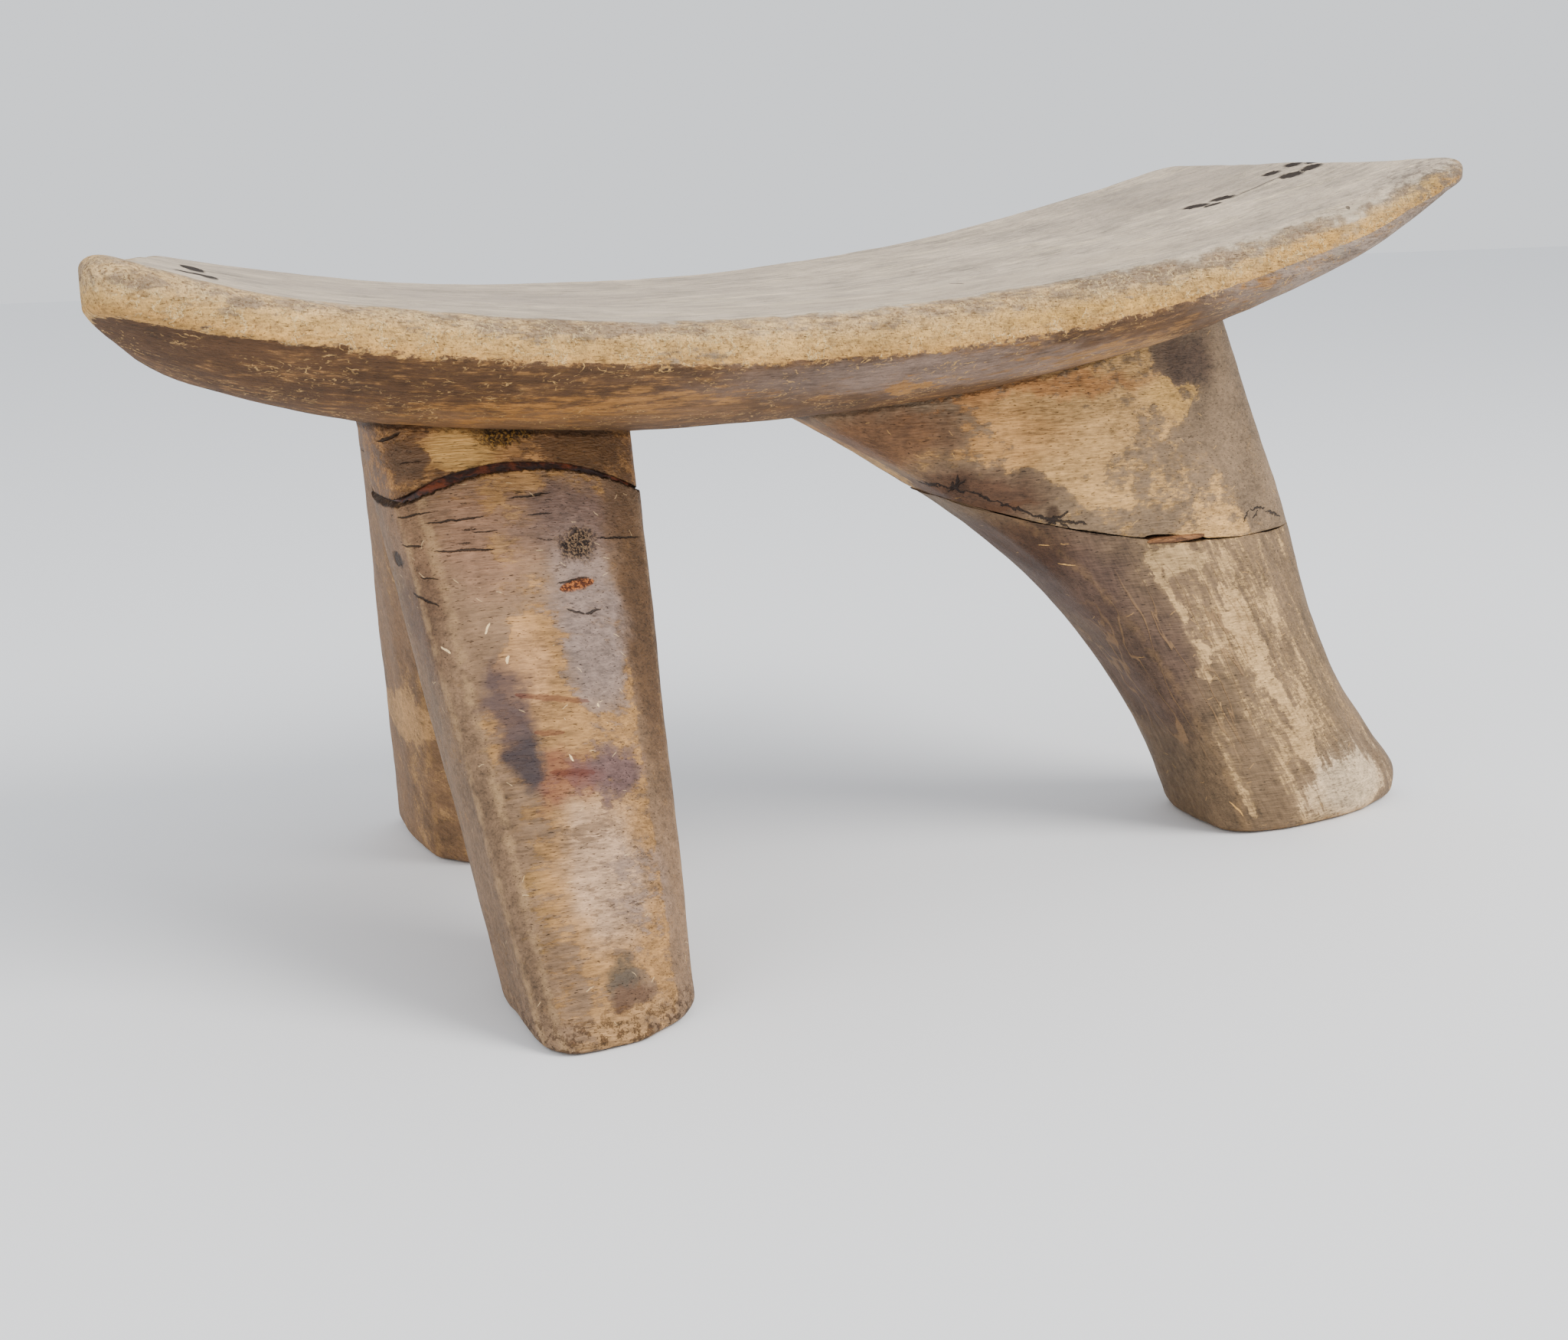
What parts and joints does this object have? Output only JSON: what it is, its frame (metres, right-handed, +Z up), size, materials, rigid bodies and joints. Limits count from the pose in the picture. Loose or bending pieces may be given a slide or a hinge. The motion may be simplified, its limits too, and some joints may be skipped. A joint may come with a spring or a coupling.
{
  "type": "stool",
  "caption": "Low carved wooden stool: a long dished seat with a hull-shaped underside, forked front legs and a rear leg that curves back.",
  "frame": {"origin": "on the floor, under the middle of the part's bounding box", "axes": "+X along the seat towards the single rear leg, +Y towards the far front leg, +Z up"},
  "size_m": [0.4721, 0.2384, 0.2374],
  "materials": {
    "wood": "worn, hand polished",
    "resin": "dark resin, half gloss"
  },
  "bodies": {
    "root": {"seat": "wood", "front_leg_root": "wood", "near_front_leg": "wood", "far_front_leg": "wood", "break_bead": "resin", "rear_leg_root": "wood", "rear_leg": "wood", "check_sliver": "wood"}
  },
  "joints": []
}
